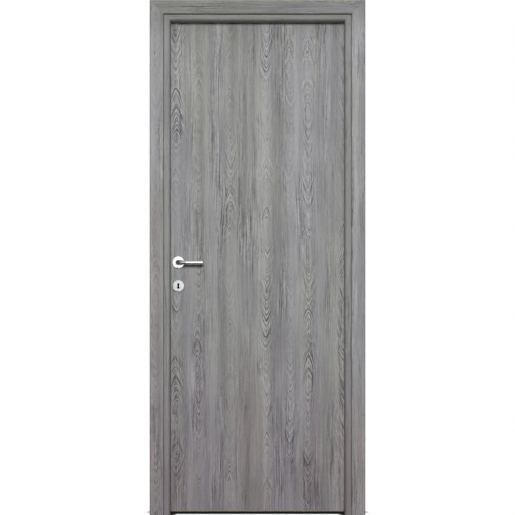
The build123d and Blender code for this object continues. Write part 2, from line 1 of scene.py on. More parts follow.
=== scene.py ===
"""Looks of an interior door: a grey wood-print leaf in a mitred frame, with satin lever handles.

Everything is in metres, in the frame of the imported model: X runs from the lock side to the hinge
side, Y from the front of the wall to the rear, and Z up from the floor.
"""

import logging
import math
from dataclasses import dataclass
from enum import Enum
from typing import Any, Union

import bmesh
import bpy
from mathutils import Matrix, Vector


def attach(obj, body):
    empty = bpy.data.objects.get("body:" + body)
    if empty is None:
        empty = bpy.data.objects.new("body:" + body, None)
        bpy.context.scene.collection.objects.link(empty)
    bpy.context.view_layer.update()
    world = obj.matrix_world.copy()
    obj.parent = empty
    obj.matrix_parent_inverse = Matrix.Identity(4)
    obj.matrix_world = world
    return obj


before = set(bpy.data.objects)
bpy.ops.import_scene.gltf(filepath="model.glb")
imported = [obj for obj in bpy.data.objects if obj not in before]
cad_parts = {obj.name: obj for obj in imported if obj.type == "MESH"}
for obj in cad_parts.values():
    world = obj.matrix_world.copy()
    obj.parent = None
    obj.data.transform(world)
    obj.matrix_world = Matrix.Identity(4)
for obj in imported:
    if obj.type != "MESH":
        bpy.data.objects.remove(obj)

LOG = logging.getLogger("interior_door")

Colour = tuple[float, float, float, float]
Direction = tuple[float, float, float]
Number = Union["Wire", float]

FORWARD: Direction = (0.0, -1.0, 0.0)
REARWARD: Direction = (0.0, 1.0, 0.0)
DOWNWARD: Direction = (0.0, 0.0, -1.0)
UPWARD: Direction = (0.0, 0.0, 1.0)
TO_HINGES: Direction = (1.0, 0.0, 0.0)
TO_LOCK: Direction = (-1.0, 0.0, 0.0)

WHITE: Colour = (1.0, 1.0, 1.0, 1.0)
BOARD_FIBRES = 420.0


def srgb(red: float, green: float, blue: float) -> Colour:
    """Turns a colour as a screen shows it into a linear colour.

    Args:
        red: The red part, from 0 to 255.
        green: The green part, from 0 to 255.
        blue: The blue part, from 0 to 255.

    Returns:
        The linear colour, with an alpha of 1.
    """

    def part(value: float) -> float:
        """Turns one part of the colour."""
        share = value / 255
        return share / 12.92 if share <= 0.04045 else ((share + 0.055) / 1.055) ** 2.4

    return (part(red), part(green), part(blue), 1.0)


@dataclass(frozen=True)
class Wire:
    """A number that runs through a node tree. Arithmetic on it adds Math nodes."""

    tree: "Nodes"
    socket: bpy.types.NodeSocket

    def _math(self, operation: str, *values: Number) -> "Wire":
        """Adds a Math node on the values."""
        return self.tree.add("Math", {"operation": operation}, dict(enumerate(values)))

    def __add__(self, other: Number) -> "Wire":
        """Adds."""
        return self._math("ADD", self, other)

    __radd__ = __add__

    def __sub__(self, other: Number) -> "Wire":
        """Subtracts."""
        return self._math("SUBTRACT", self, other)

    def __rsub__(self, other: Number) -> "Wire":
        """Subtracts from a number."""
        return self._math("SUBTRACT", other, self)

    def __mul__(self, other: Number) -> "Wire":
        """Multiplies."""
        return self._math("MULTIPLY", self, other)

    __rmul__ = __mul__

    def __truediv__(self, other: Number) -> "Wire":
        """Divides."""
        return self._math("DIVIDE", self, other)

    def __pow__(self, other: Number) -> "Wire":
        """Raises to a power."""
        return self._math("POWER", self, other)

    def __abs__(self) -> "Wire":
        """Drops the sign."""
        return self._math("ABSOLUTE", self)

    def floor(self) -> "Wire":
        """Rounds down."""
        return self._math("FLOOR", self)

    def fraction(self) -> "Wire":
        """Keeps what stands past the whole number."""
        return self._math("FRACT", self)

    def past(self, edge: Number) -> "Wire":
        """Gives 1 past an edge and 0 before it."""
        return self._math("GREATER_THAN", self, edge)

    def most(self, other: Number) -> "Wire":
        """Keeps the larger of two numbers."""
        return self._math("MAXIMUM", self, other)

    def rise(self, start: Number, end: Number) -> "Wire":
        """Rises smoothly from 0 to 1, or falls where end is the smaller number.

        Args:
            start: The number where the result leaves 0.
            end: The number where the result reaches 1.

        Returns:
            The result, from 0 to 1.
        """
        return self.tree.add(
            "MapRange",
            {"interpolation_type": "SMOOTHSTEP"},
            {"Value": self, "From Min": start, "From Max": end},
        )

    def output(self, name: Union[str, int]) -> "Wire":
        """Takes another output of the node that this wire leaves."""
        return Wire(self.tree, self.socket.node.outputs[name])

    def parts(self, kind: str = "SeparateXYZ") -> tuple["Wire", "Wire", "Wire"]:
        """Splits a vector, or a colour with the kind SeparateColor, into its three numbers."""
        split = self.tree.add(kind, {}, {0: self})
        return split, split.output(1), split.output(2)


class Nodes:
    """A node tree, with one method that adds any node and a few that name common ones."""

    def __init__(self, owner: Union[bpy.types.Material, bpy.types.World]) -> None:
        """Empties the node tree of a material or world.

        Args:
            owner: The material or world whose nodes are made.
        """
        owner.use_nodes = True
        self.tree = owner.node_tree
        self.tree.nodes.clear()

    def add(
        self,
        kind: str,
        settings: dict[str, Any],
        inputs: dict[Union[str, int], Any],
        output: Union[str, int] = 0,
    ) -> Wire:
        """Adds a node, sets it and joins it to what feeds it.

        Args:
            kind: The node's type without ShaderNode in front of it.
            settings: The node's own settings, and a ramp's stops as pairs of a place and a colour.
            inputs: A value or a wire for each socket, by name or number.
            output: The output that the wire leaves from.

        Returns:
            The wire that leaves the node.
        """
        node = self.tree.nodes.new("ShaderNode" + kind)
        for name, value in settings.items():
            if name == "stops":
                self._set_stops(node.color_ramp, value)
            elif name == "ramp":
                node.color_ramp.interpolation = value
            else:
                setattr(node, name, value)
        for name, value in inputs.items():
            if isinstance(value, Wire):
                self.tree.links.new(value.socket, node.inputs[name])
            else:
                node.inputs[name].default_value = value
        return Wire(self, node.outputs[output]) if len(node.outputs) else None

    @staticmethod
    def _set_stops(ramp: bpy.types.ColorRamp, stops: list[tuple[float, Colour]]) -> None:
        """Gives a colour ramp its stops.

        Args:
            ramp: The ramp.
            stops: A place from 0 to 1 and a colour for each stop.
        """
        while len(ramp.elements) > 1:
            ramp.elements.remove(ramp.elements[-1])
        ramp.elements[0].position, ramp.elements[0].color = stops[0]
        for place, colour in stops[1:]:
            ramp.elements.new(place).color = colour

    def place(self, output: str = "Object") -> Wire:
        """Gives the place of a point on the piece, or its normal."""
        return self.add("TexCoord", {}, {}, output)

    def noise(self, across: Number, along: Number, detail: float, roughness: float) -> Wire:
        """Adds soft noise over a plane, with a size of about 1.

        Args:
            across: The first coordinate.
            along: The second coordinate.
            detail: How many finer layers are added.
            roughness: How strong the finer layers are.

        Returns:
            A number about 0.5, mostly between 0.3 and 0.7.
        """
        point = self.add("CombineXYZ", {}, {"X": across, "Y": along})
        return self.add(
            "TexNoise",
            {"noise_dimensions": "2D"},
            {"Vector": point, "Scale": 1.0, "Detail": detail, "Roughness": roughness},
        )

    def speckle(self, place: Wire, scale: float, detail: float = 2.0) -> Wire:
        """Adds noise through the whole body of a piece, with features of 1 / scale metres."""
        return self.add("TexNoise", {}, {"Vector": place, "Scale": scale, "Detail": detail})

    def mix(self, share: Number, first: Any, second: Any, blend: str = "MIX") -> Wire:
        """Mixes two colours by a share from 0 to 1."""
        settings = {"data_type": "RGBA", "blend_type": blend}
        return self.add("Mix", settings, {0: share, 6: first, 7: second}, 2)

    def tint(self, share: Number, colour: Wire, tint: Colour) -> Wire:
        """Multiplies a colour by a tint, as far as a share from 0 to 1 says."""
        return self.mix(share, colour, tint, "MULTIPLY")

    def facing(
        self, normal: Wire, direction: Direction, start: float = 0.6, end: float = 0.8
    ) -> Wire:
        """Tells the faces that look in a direction from all others.

        Args:
            normal: The normal of a point on the piece.
            direction: The direction.
            start: The cosine of the angle between the two where the result leaves 0.
            end: The cosine where it reaches 1.

        Returns:
            1 on the faces that look that way and 0 on the others.
        """
        look = self.add("VectorMath", {"operation": "DOT_PRODUCT"}, {0: normal, 1: direction}, 1)
        return look.rise(start, end)

    def bump(self, height: Number, depth: float, strength: float = 1.0) -> Wire:
        """Turns a height from 0 to 1 into a normal, for a relief of a depth in metres."""
        inputs = {"Height": height, "Distance": depth, "Strength": strength}
        return self.add("Bump", {}, inputs)

    def surface(self, inputs: dict[str, Any]) -> None:
        """Ends the tree in a plain surface shader."""
        shader = self.add("BsdfPrincipled", {}, inputs)
        self.add("OutputMaterial", {}, {"Surface": shader})


class GrainRun(Enum):
    """Way that the wood print runs on a member."""

    UPRIGHT = "upright"
    LEVEL = "level"


@dataclass(frozen=True)
class RingStack:
    """Pointed growth rings above each other in the print. They point down at a strength below 0."""

    bottom: float
    top: float
    strength: float


@dataclass(frozen=True)
class RingColumn:
    """A column of the print that holds stacks of growth rings, the lowest first."""

    centre: float
    half_width: float
    stacks: tuple[RingStack, ...]


@dataclass(frozen=True)
class RingPlace:
    """Where a point of the print lies among the growth rings of its column.

    The seed tells the columns apart. The point lies aside from the column's centre line, at a level
    that follows the arches, and inside is 1 in the middle of a stack and 0 past its ends.
    """

    centre: Wire
    half_width: Wire
    seed: Wire
    aside: Wire
    level: Wire
    strength: Wire
    inside: Wire


@dataclass(frozen=True)
class Layer:
    """A layer of soft noise in the print.

    Across and along are its features to a metre, and start moves it over the print. It swings about
    0 by its reach, or goes from 0 to its reach over a band of the noise, where it has one.
    """

    across: float
    along: float
    reach: float = 1.0
    detail: float = 2.0
    roughness: float = 0.5
    start: tuple[float, float] = (0.0, 0.0)
    band: tuple[float, ...] = ()

    def draw(self, nodes: Nodes, across: Wire, along: Wire, seed: Number = 0.0) -> Wire:
        """Adds the layer to a tree.

        Args:
            nodes: The tree that the layer joins.
            across: The place across the print in metres.
            along: The place along the print in metres.
            seed: A number that moves the layer further across.

        Returns:
            The layer's value at that place.
        """
        soft = nodes.noise(
            across * self.across + (self.start[0] + seed),
            along * self.along + self.start[1],
            self.detail,
            self.roughness,
        )
        return (soft.rise(*self.band) if self.band else soft - 0.5) * self.reach


@dataclass(frozen=True)
class Laminate:
    """Grey foil with a wood print: straight streaks between columns of pointed growth rings.

    Shift and slide move the print across and along the piece. The foil leaves out the bare sides
    and what lies below the raw foot. It darkens from a height down to the floor, which is painted
    shade for the lamp's falloff with a violet shift in the print's colour. It also darkens towards
    the head of the door, and on the faces that look out past an outer edge, which is painted shade.
    """

    name: str
    run: GrainRun
    shift: float
    slide: float
    bare_sides: tuple[Direction, ...] = (DOWNWARD,)
    depth_of_tone: float = 1.0
    shade: float = 1.0
    raw_foot: float = -1.0
    painted_falloff_from: float = 0.95
    painted_edge_shade_side: Direction = (0.0, 0.0, 0.0)

    dark_foil = srgb(87, 86, 85)
    pale_foil = srgb(186, 187, 184)
    head_band = (2.0, 2.14)
    head_tint = (0.82, 0.82, 0.81, 1.0)
    # Painted shade for the lamp's falloff towards the floor, with a violet shift in the print's
    # colour.
    painted_falloff_tint = (0.935, 0.87, 0.915, 1.0)
    violet = Layer(9, 0.9, 0.65, start=(40, 7), band=(0.40, 0.60))
    violet_tint = (0.965, 0.94, 1.045, 1.0)
    brown = Layer(12, 1.1, start=(90, 3), band=(0.46, 0.64))
    brown_tint = (1.0, 0.955, 0.935, 1.0)
    brown_below = 0.95
    brown_above_share = 0.25
    # Painted shade on the faces that look out over a casing's rounded outer edge.
    painted_edge_shade_band = (0.15, 0.7)
    painted_edge_shade_tint = (0.58, 0.57, 0.56, 1.0)
    foil_roughness = 0.46
    tone_roughness = 0.08
    specular = 0.25
    relief = 0.0003
    relief_strength = 0.35

    dark_board = srgb(150, 122, 92)
    pale_board = srgb(196, 171, 138)
    board_band = (0.3, 0.7)
    board_roughness = 0.81
    foot_edge = 0.0005

    middle_tone = 0.57
    broad = Layer(13, 0.3, 0.52, detail=1)
    middle = Layer(44, 0.6, 0.28, detail=0, start=(11, 0))
    cloud = Layer(9, 3.1, 0.30, start=(70, 0))
    straight = Layer(170, 6, 1.05, roughness=0.6)
    bent = Layer(62, 30, 1.05, roughness=0.6)
    fibre = Layer(260, 34, 0.55, roughness=0.7)
    grit = Layer(250, 120, 0.25, detail=1)
    dash = Layer(120, 7.5, -0.14, detail=1, start=(5, 0), band=(0.68, 0.80))
    hair = Layer(200, 2.6, -0.18, detail=1, start=(21, 0), band=(0.56, 0.68))
    pore = Layer(800, 36, -0.08, detail=1, band=(0.56, 0.74))
    lively = Layer(13, 1.9, 0.9, detail=1, start=(33, 0), band=(0.42, 0.68))
    lively_rings = 0.7
    lively_least = 0.4
    streak_lift = 0.005

    print_width = 0.80
    print_length = 1.163
    stack_fade_in = (0.0, 0.2)
    stack_fade_out = (1.0, 0.85)
    column_seed = 57.0
    arch_slope = 2.3
    arch_point = 1.5
    wander = Layer(7, 2.3, 0.024, start=(3.1, 0))
    ripple = Layer(90, 22, 0.0035)
    ring_pitch = 0.022
    ring_drift = Layer(14, 1, 2.4, detail=1)
    ring_tremor = Layer(150, 26, 0.3)
    ring_patch = Layer(26, 9, 0.5, detail=1, start=(60, 0), band=(0.36, 0.56))
    ring_edge = (1.3, 0.6)
    bend_edge = (2.2, 0.8)
    dark_line_band = (0.5, 0.82)
    dark_line_end = (1.0, 0.90)
    dark_line_least = 0.1
    dark_line_depth = 0.8
    pale_line_band = (0.42, 0.08)
    pale_line_least = 0.4
    pale_line_depth = 0.36
    columns = (
        RingColumn(
            0.021,
            0.028,
            (RingStack(0.24, 0.34, 0.35), RingStack(0.42, 0.69, 0.85), RingStack(0.83, 0.98, -0.4)),
        ),
        RingColumn(
            0.117,
            0.012,
            (RingStack(0.10, 0.17, -0.3), RingStack(0.40, 0.49, -0.3), RingStack(0.57, 0.84, 0.3)),
        ),
        RingColumn(
            0.251,
            0.016,
            (
                RingStack(0.01, 0.10, 0.3),
                RingStack(0.12, 0.24, 0.8),
                RingStack(0.43, 0.50, -0.25),
                RingStack(0.57, 0.68, 0.3),
                RingStack(0.75, 0.84, 0.25),
            ),
        ),
        RingColumn(
            0.408,
            0.018,
            (
                RingStack(0.09, 0.16, 0.6),
                RingStack(0.24, 0.37, 0.75),
                RingStack(0.39, 0.62, -0.25),
                RingStack(0.65, 1.07, -0.9),
                RingStack(1.08, 1.16, -0.7),
            ),
        ),
        RingColumn(
            0.509,
            0.013,
            (RingStack(0.21, 0.39, -0.2), RingStack(0.46, 0.69, -0.3), RingStack(0.74, 0.90, 0.2)),
        ),
        RingColumn(
            0.588,
            0.019,
            (
                RingStack(0.01, 0.07, -0.9),
                RingStack(0.11, 0.30, -0.35),
                RingStack(0.41, 0.53, -0.3),
                RingStack(0.54, 0.71, 0.9),
                RingStack(0.73, 0.89, 0.8),
            ),
        ),
        RingColumn(
            0.745,
            0.028,
            (RingStack(0.00, 0.10, 0.8), RingStack(0.42, 0.75, -0.4), RingStack(0.99, 1.16, 0.9)),
        ),
    )

    def _find_column(self, nodes: Nodes, share: Wire) -> tuple[Wire, Wire]:
        """Looks up the column that a point of the print is nearest to.

        Args:
            nodes: The tree that the look-up joins.
            share: The place across the print, from 0 to 1.

        Returns:
            The column's centre as a share of the print and its half width in metres.
        """
        stops = []
        for n, column in enumerate(self.columns):
            edge = self._column_edge(n) if n else 0.0
            stops.append((edge, (column.centre / self.print_width, column.half_width, 0.0, 1.0)))
        ramp = nodes.add("ValToRGB", {"stops": stops, "ramp": "CONSTANT"}, {"Fac": share})
        centre, half_width, _ = ramp.parts("SeparateColor")
        return centre, half_width

    def _column_edge(self, n: int) -> float:
        """Gives the share of the print's width where column n begins, for n from 1 up."""
        return (self.columns[n - 1].centre + self.columns[n].centre) / 2 / self.print_width

    def _find_stack(self, nodes: Nodes, share: Wire, rise: Wire) -> tuple[Wire, Wire]:
        """Looks up the stack of rings that a point of the print lies in.

        Args:
            nodes: The tree that the look-up joins.
            share: The place across the print, from 0 to 1.
            rise: The place along the print, from 0 to 1.

        Returns:
            The stack's strength, which is 0 between stacks, and a share that falls from 1 inside
            the stack to 0 at its ends.
        """
        chosen = None
        for n, column in enumerate(self.columns):
            stops = [(0.0, (0.0, 1.0, 0.5, 1.0))]
            for stack in column.stacks:
                bottom, top = stack.bottom / self.print_length, stack.top / self.print_length
                stops.append((bottom, (bottom, top, 0.5 + stack.strength / 2, 1.0)))
                stops.append((top, (0.0, 1.0, 0.5, 1.0)))
            ramp = nodes.add("ValToRGB", {"stops": stops, "ramp": "CONSTANT"}, {"Fac": rise})
            if chosen is None:
                chosen = ramp
            else:
                chosen = nodes.mix(share.past(self._column_edge(n)), chosen, ramp)
        bottom, top, strength = chosen.parts("SeparateColor")
        part = (rise - bottom) / (top - bottom)
        return strength * 2 - 1, part.rise(*self.stack_fade_in) * part.rise(*self.stack_fade_out)

    def _find_place(self, nodes: Nodes, across: Wire, along: Wire) -> RingPlace:
        """Finds where a point of the print lies among the growth rings.

        Args:
            nodes: The tree that the search joins.
            across: The place across the print in metres.
            along: The place along the print in metres.

        Returns:
            The place in the nearest column.
        """
        share = (across / self.print_width).fraction()
        centre, half_width = self._find_column(nodes, share)
        strength, inside = self._find_stack(nodes, share, (along / self.print_length).fraction())
        ripple = self.ripple.draw(nodes, across, along)
        aside = abs((share - centre) * self.print_width + ripple)
        arch = (aside / half_width) ** self.arch_point * half_width * self.arch_slope
        level = along + (strength.past(0.0) * 2 - 1) * arch
        seed = centre * self.column_seed
        return RingPlace(centre, half_width, seed, aside, level, strength, inside)

    def _draw_rings(self, nodes: Nodes, across: Wire, along: Wire, place: RingPlace) -> Wire:
        """Draws the lines of the growth rings.

        Args:
            nodes: The tree that the rings join.
            across: The place across the print in metres.
            along: The place along the print in metres.
            place: The place among the rings.

        Returns:
            What the rings add to the tone, below 0 on their dark lines.
        """
        ring = place.level / self.ring_pitch
        ring = ring + self.ring_drift.draw(nodes, along, place.centre, place.seed)
        ring = ring + self.ring_tremor.draw(nodes, across, along)
        settings = {"noise_dimensions": "1D"}
        weight = nodes.add("TexWhiteNoise", settings, {"W": ring.floor() + place.seed}, "Value")
        step = ring.fraction()
        dark_line = step.rise(*self.dark_line_band) * step.rise(*self.dark_line_end)
        dark_line = dark_line * (weight * (1 - self.dark_line_least) + self.dark_line_least)
        pale_line = step.rise(*self.pale_line_band)
        pale_line = pale_line * (weight * (1 - self.pale_line_least) + self.pale_line_least)
        start, end = self.ring_edge
        figure = place.aside.rise(place.half_width * start, place.half_width * end)
        figure = figure * abs(place.strength) * place.inside
        figure = figure * (self.ring_patch.draw(nodes, across, along) + 0.5)
        return figure * (pale_line * self.pale_line_depth - dark_line * self.dark_line_depth)

    def _draw_streaks(self, nodes: Nodes, across: Wire, along: Wire, place: RingPlace) -> Wire:
        """Draws the streaks, which bend with the arches near a column.

        Args:
            nodes: The tree that the streaks join.
            across: The place across the print in metres.
            along: The place along the print in metres.
            place: The place among the rings.

        Returns:
            What the streaks add to the tone, about 0.
        """
        start, end = self.bend_edge
        near = place.aside.rise(place.half_width * start, place.half_width * end) * place.inside
        straight = self.straight.draw(nodes, across, along)
        bent = self.bent.draw(nodes, place.level, place.aside, place.seed)
        fine = straight + (bent - straight) * near
        for layer in (self.fibre, self.grit, self.dash, self.hair):
            fine = fine + layer.draw(nodes, across, along)
        lively = self.lively.draw(nodes, across, along) + self.lively_least
        lively = lively + near * abs(place.strength) * self.lively_rings
        ground = self.broad.draw(nodes, across, along) + self.middle.draw(nodes, across, along)
        ground = ground + self.cloud.draw(nodes, across, along)
        return ground + (fine + self.streak_lift) * lively

    def _draw_tone(self, nodes: Nodes, across: Wire, along: Wire) -> Wire:
        """Draws the print.

        Args:
            nodes: The tree that the print joins.
            across: The place across the print in metres.
            along: The place along the print in metres.

        Returns:
            The tone, 0 for the darkest line and 1 for the palest.
        """
        place = self._find_place(nodes, across, along)
        tone = self._draw_streaks(nodes, across, along, place) * self.depth_of_tone
        tone = tone + self.middle_tone + self._draw_rings(nodes, across, along, place)
        return (tone + self.pore.draw(nodes, across, along)).most(0.0)

    def _shade_foil(
        self, nodes: Nodes, tone: Wire, across: Wire, along: Wire, height: Wire
    ) -> Wire:
        """Turns the tone into a colour, with violet and brown patches.

        Args:
            nodes: The tree that the colour joins.
            tone: The tone of the print.
            across: The place across the print in metres.
            along: The place along the print in metres.
            height: The height above the floor in metres.

        Returns:
            The foil's colour.
        """
        violet = self.violet.draw(nodes, across, along)
        brown_share = height.rise(self.brown_below, 0.0) + self.brown_above_share
        brown = self.brown.draw(nodes, across, along) * brown_share
        foil = nodes.mix(tone, self.dark_foil, self.pale_foil)
        foil = nodes.tint(1.0, foil, (self.shade, self.shade, self.shade, 1.0))
        foil = nodes.tint(height.rise(*self.head_band), foil, self.head_tint)
        foil = nodes.tint(violet, foil, self.violet_tint)
        foil = nodes.tint(brown, foil, self.brown_tint)
        # Painted shade: the foil darkens from a height down to the floor, standing in for the
        # lamp's falloff, with a violet shift in the print's colour.
        return nodes.tint(height.rise(self.painted_falloff_from, 0.0), foil, self.painted_falloff_tint)

    def build(self) -> bpy.types.Material:
        """Makes the laminate's material, with bare board where the foil is left out.

        Returns:
            The material.
        """
        material = bpy.data.materials.new(self.name)
        nodes = Nodes(material)
        place = nodes.place()
        x, y, z = place.parts()
        if self.run is GrainRun.UPRIGHT:
            across, along = x + y + self.shift, z + self.slide
        else:
            across, along = z + y + self.shift, x + self.slide
        across = across + self.wander.draw(nodes, across, along)
        tone = self._draw_tone(nodes, across, along)
        foil = self._shade_foil(nodes, tone, across, along, z)

        normal = nodes.place("Normal")
        # Painted shade: faces that look towards the outer side are darkened, standing in for shade
        # on the rounded outer edge.
        edge_shade = nodes.facing(normal, self.painted_edge_shade_side, *self.painted_edge_shade_band)
        foil = nodes.tint(edge_shade, foil, self.painted_edge_shade_tint)
        bare = z.rise(self.raw_foot + self.foot_edge, self.raw_foot)
        for direction in self.bare_sides:
            bare = bare.most(nodes.facing(normal, direction))
        fibre = nodes.speckle(place, BOARD_FIBRES, 3)
        board = nodes.mix(fibre.rise(*self.board_band), self.dark_board, self.pale_board)
        grain = tone * (1 - bare) + fibre * bare
        roughness = self.foil_roughness + bare * (self.board_roughness - self.foil_roughness)
        nodes.surface(
            {
                "Base Color": nodes.mix(bare, foil, board),
                "Roughness": roughness + (tone - 0.5) * self.tone_roughness,
                "Specular IOR Level": self.specular,
                "Normal": nodes.bump(grain, self.relief, self.relief_strength),
            }
        )
        return material


@dataclass(frozen=True)
class Board:
    """Raw fibre board, as it shows on the leaf's top and bottom."""

    name: str = "raw_board"
    dark: Colour = srgb(150, 122, 92)
    pale: Colour = srgb(198, 173, 141)
    fibre_band: tuple[float, float] = (0.3, 0.7)
    fibre_share: float = 0.7
    clouds: float = 24.0
    roughness: float = 0.85
    relief: float = 0.0003

    def build(self) -> bpy.types.Material:
        """Makes the board's material.

        Returns:
            The material.
        """
        material = bpy.data.materials.new(self.name)
        nodes = Nodes(material)
        place = nodes.place()
        fibre = nodes.speckle(place, BOARD_FIBRES, 3)
        cloud = nodes.speckle(place, self.clouds, 2)
        share = fibre.rise(*self.fibre_band) * self.fibre_share + cloud * (1 - self.fibre_share)
        nodes.surface(
            {
                "Base Color": nodes.mix(share, self.dark, self.pale),
                "Roughness": self.roughness - fibre * 0.1,
                "Normal": nodes.bump(fibre, self.relief, 0.5),
            }
        )
        return material


@dataclass(frozen=True)
class Metal:
    """Metal with a fine brushing, faint smudges and a little wear.

    The brushing gives its lines to a metre each way, and the smudge how far it moves the roughness.
    """

    name: str
    colour: Colour
    roughness: float
    smudge: float = 0.08
    brushing: Direction = (900.0, 900.0, 30.0)
    brushing_depth: float = 0.00005
    brushing_strength: float = 0.15
    smudges: float = 70.0
    wear_band: tuple[float, float] = (0.42, 0.75)
    wear_share: float = 0.6
    worn: float = 0.82

    def build(self) -> bpy.types.Material:
        """Makes the metal's material.

        Returns:
            The material.
        """
        material = bpy.data.materials.new(self.name)
        nodes = Nodes(material)
        place = nodes.place()
        settings = {"vector_type": "POINT"}
        stretched = nodes.add("Mapping", settings, {"Vector": place, "Scale": self.brushing})
        brush = nodes.speckle(stretched, 1.0, 3)
        smudge = nodes.speckle(place, self.smudges, 3)
        wear = smudge.rise(*self.wear_band) * self.wear_share
        worn = tuple(part * self.worn for part in self.colour[:3]) + (1.0,)
        uneven = (smudge - 0.5) * 2 + (brush - 0.5)
        nodes.surface(
            {
                "Base Color": nodes.mix(wear, self.colour, worn),
                "Metallic": 1.0,
                "Roughness": self.roughness + uneven * self.smudge,
                "Normal": nodes.bump(brush, self.brushing_depth, self.brushing_strength),
            }
        )
        return material


@dataclass(frozen=True)
class Rubber:
    """Black seal rubber with a faint bloom."""

    name: str = "seal_rubber"
    clean: Colour = srgb(24, 24, 25)
    bloomed: Colour = srgb(44, 44, 45)
    blooms: float = 60.0
    bloom_band: tuple[float, float] = (0.4, 0.8)
    pores: float = 1500.0
    pore_depth: float = 0.00008
    roughness: float = 0.62

    def build(self) -> bpy.types.Material:
        """Makes the rubber's material.

        Returns:
            The material.
        """
        material = bpy.data.materials.new(self.name)
        nodes = Nodes(material)
        place = nodes.place()
        bloom = nodes.speckle(place, self.blooms, 3)
        skin = nodes.speckle(place, self.pores, 1)
        nodes.surface(
            {
                "Base Color": nodes.mix(bloom.rise(*self.bloom_band), self.clean, self.bloomed),
                "Roughness": self.roughness + (bloom - 0.5) * 0.2,
                "Normal": nodes.bump(skin, self.pore_depth, 0.3),
            }
        )
        return material


@dataclass(frozen=True)
class CadDresser:
    """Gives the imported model's own nodes their finish and smooth shading."""

    sharp_angle: float = 32.0
    weld_distance: float = 0.00001

    def dress(self, names: tuple[str, ...], material: bpy.types.Material) -> None:
        """Finishes some nodes alike.

        Args:
            names: The nodes.
            material: The finish that they get.
        """
        for name in names:
            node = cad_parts[name]
            node.data.materials.clear()
            node.data.materials.append(material)
            node.data.polygons.foreach_set("material_index", [0] * len(node.data.polygons))
            node.data.polygons.foreach_set("use_smooth", [True] * len(node.data.polygons))
            weld = node.modifiers.new("weld", "WELD")
            weld.merge_threshold = self.weld_distance
            split = node.modifiers.new("sharp_edges", "EDGE_SPLIT")
            split.split_angle = math.radians(self.sharp_angle)
            LOG.info("dressed %s in %s", name, material.name)


@dataclass(frozen=True)
class ScrewHeads:
    """Low domed screw heads of one kind, with six-lobed recesses, on the faces of CAD nodes."""

    name: str
    outwards: Direction
    radius: float
    height: float
    body: str
    slot: str

    segments = 24
    dome = ((1.0, 0.2), (0.9, 0.65), (0.72, 0.95))
    lobes = 6
    recess_share = 0.5
    recess_foot_share = 0.4
    lobe_depth = 0.16
    sink = 0.0006

    def build(self, places: tuple[Direction, ...], material: bpy.types.Material) -> None:
        """Makes a head at each place.

        Args:
            places: The places of the heads on the face that they stand on.
            material: The finish of the heads.
        """
        for n, place in enumerate(places, start=1):
            self._build_head(f"{self.name}_{n}", place, material)

    def _build_head(self, name: str, place: Direction, material: bpy.types.Material) -> None:
        """Makes one head.

        Args:
            name: The head's name.
            place: The middle of the head on the face that it stands on.
            material: The head's finish.
        """
        shape = bmesh.new()
        outline = [(1.0, -self.sink)]
        outline += [(share, self.height * rise) for share, rise in self.dome]
        recess = [(self.recess_share, self.height), (self.recess_foot_share, 0.0)]
        rings = [self._add_ring(shape, share, height, 0.0) for share, height in outline]
        rings += [self._add_ring(shape, share, height, self.lobe_depth) for share, height in recess]
        for lower, upper in zip(rings, rings[1:]):
            edges = {edge for vertex in lower + upper for edge in vertex.link_edges}
            bmesh.ops.bridge_loops(shape, edges=[e for e in edges if self._is_rim(e, lower, upper)])
        bmesh.ops.contextual_create(shape, geom=rings[-1])
        bmesh.ops.contextual_create(shape, geom=rings[0])
        bmesh.ops.recalc_face_normals(shape, faces=shape.faces)
        turned = Vector(self.outwards).to_track_quat("Z", "Y").to_matrix().to_4x4()
        bmesh.ops.transform(shape, matrix=Matrix.Translation(place) @ turned, verts=shape.verts)
        mesh = bpy.data.meshes.new(name)
        shape.to_mesh(mesh)
        shape.free()
        mesh.materials.append(material)
        head = bpy.data.objects.new(name, mesh)
        bpy.context.scene.collection.objects.link(head)
        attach(head, self.body)
        LOG.info("built %s", name)

    def _add_ring(
        self, shape: bmesh.types.BMesh, share: float, height: float, lobe_depth: float
    ) -> list[bmesh.types.BMVert]:
        """Adds one ring of a head.

        Args:
            shape: The head.
            share: The ring's radius as a share of the head's.
            height: The ring's height.
            lobe_depth: How far the lobes stand out, as a share of the ring's radius.

        Returns:
            The ring's vertices.
        """
        made = bmesh.ops.create_circle(shape, segments=self.segments, radius=1.0, cap_ends=False)
        for vertex in made["verts"]:
            turn = math.atan2(vertex.co.y, vertex.co.x)
            reach = self.radius * share * (1 + lobe_depth * math.cos(self.lobes * turn))
            vertex.co = Vector((reach * math.cos(turn), reach * math.sin(turn), height))
        return made["verts"]

    @staticmethod
    def _is_rim(
        edge: bmesh.types.BMEdge, lower: list[bmesh.types.BMVert], upper: list[bmesh.types.BMVert]
    ) -> bool:
        """Tells whether an edge runs along one of two rings and not between rings."""
        return all(v in lower for v in edge.verts) or all(v in upper for v in edge.verts)


@dataclass(frozen=True)
class Side:
    """An upright side of the frame, with the place and shade of its print, and the height from
    which painted falloff shade darkens its casings towards the floor.
    """

    name: str
    outwards: Direction
    shift: float
    shade: float
    painted_falloff_from: float


@dataclass(frozen=True)
class Face:
    """A face of the wall, with the place of the print on its casings."""

    name: str
    wall: Direction
    shift: float
    slide: float


